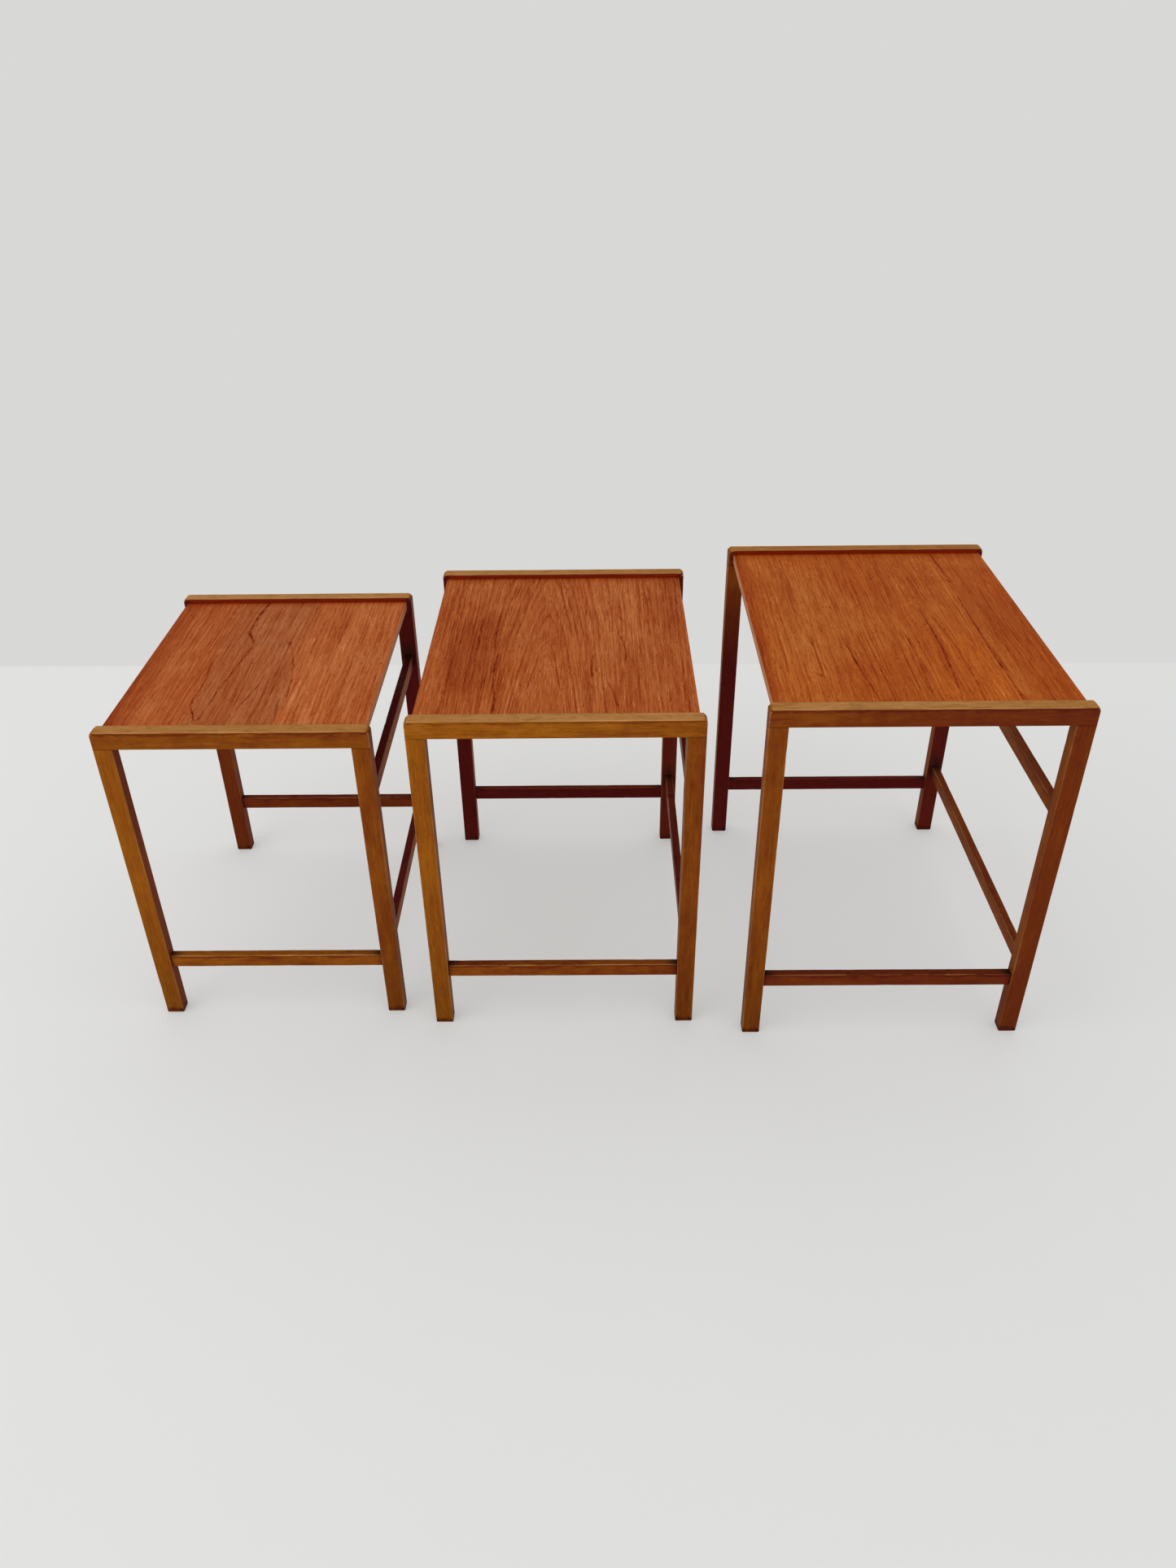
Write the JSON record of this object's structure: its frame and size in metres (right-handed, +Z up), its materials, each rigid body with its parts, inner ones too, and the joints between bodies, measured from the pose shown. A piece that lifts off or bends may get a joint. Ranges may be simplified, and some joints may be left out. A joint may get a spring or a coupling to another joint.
{
  "type": "nesting tables",
  "caption": "Set of wooden side tables in stepped sizes with square-legged end frames and teak tops, each open on one side so that the next smaller table slides under it.",
  "frame": {"origin": "on the floor, at the centre of the box round the row of tables", "axes": "+X along the row from the small table to the large one, which is the way a table slides into the next; +Y from the front end frames to the rear ones; +Z up"},
  "size_m": [1.159, 0.484, 0.5],
  "materials": {
    "frame_beech": "golden brown stained beech, satin lacquer",
    "teak_veneer": "teak veneer with its grain along Y, satin lacquer",
    "teak_lipping": "solid teak strip, satin lacquer",
    "backing_veneer": "plain backing veneer, unlacquered",
    "core_board": "raw chipboard",
    "dowel_beech": "raw beech"
  },
  "bodies": {
    "large_table": {"large_front_left_leg": "frame_beech", "large_front_right_leg": "frame_beech", "large_rear_left_leg": "frame_beech", "large_rear_right_leg": "frame_beech", "large_front_top_rail": "frame_beech", "large_rear_top_rail": "frame_beech", "large_front_stretcher": "frame_beech", "large_rear_stretcher": "frame_beech", "large_upper_side_rail": "frame_beech", "large_lower_side_rail": "frame_beech", "large_face_veneer": "teak_veneer", "large_backing_veneer": "backing_veneer", "large_left_lipping": "teak_lipping", "large_right_lipping": "teak_lipping", "large_top_core": "core_board", "large_leg_dowels": "dowel_beech", "large_stretcher_dowels": "dowel_beech", "large_side_rail_dowels": "dowel_beech", "large_top_dowels": "dowel_beech"},
    "medium_table": {"medium_front_left_leg": "frame_beech", "medium_front_right_leg": "frame_beech", "medium_rear_left_leg": "frame_beech", "medium_rear_right_leg": "frame_beech", "medium_front_top_rail": "frame_beech", "medium_rear_top_rail": "frame_beech", "medium_front_stretcher": "frame_beech", "medium_rear_stretcher": "frame_beech", "medium_upper_side_rail": "frame_beech", "medium_lower_side_rail": "frame_beech", "medium_face_veneer": "teak_veneer", "medium_backing_veneer": "backing_veneer", "medium_left_lipping": "teak_lipping", "medium_right_lipping": "teak_lipping", "medium_top_core": "core_board", "medium_leg_dowels": "dowel_beech", "medium_stretcher_dowels": "dowel_beech", "medium_side_rail_dowels": "dowel_beech", "medium_top_dowels": "dowel_beech"},
    "small_table": {"small_front_left_leg": "frame_beech", "small_front_right_leg": "frame_beech", "small_rear_left_leg": "frame_beech", "small_rear_right_leg": "frame_beech", "small_front_top_rail": "frame_beech", "small_rear_top_rail": "frame_beech", "small_front_stretcher": "frame_beech", "small_rear_stretcher": "frame_beech", "small_upper_side_rail": "frame_beech", "small_lower_side_rail": "frame_beech", "small_face_veneer": "teak_veneer", "small_backing_veneer": "backing_veneer", "small_left_lipping": "teak_lipping", "small_right_lipping": "teak_lipping", "small_top_core": "core_board", "small_leg_dowels": "dowel_beech", "small_stretcher_dowels": "dowel_beech", "small_side_rail_dowels": "dowel_beech", "small_top_dowels": "dowel_beech"}
  },
  "joints": [
    {"name": "medium_into_large", "type": "slide", "parent": "large_table", "child": "medium_table", "axis": [1, 0, 0], "range_m": [0, 0.416]},
    {"name": "small_into_medium", "type": "slide", "parent": "medium_table", "child": "small_table", "axis": [1, 0, 0], "range_m": [0, 0.377]}
  ]
}
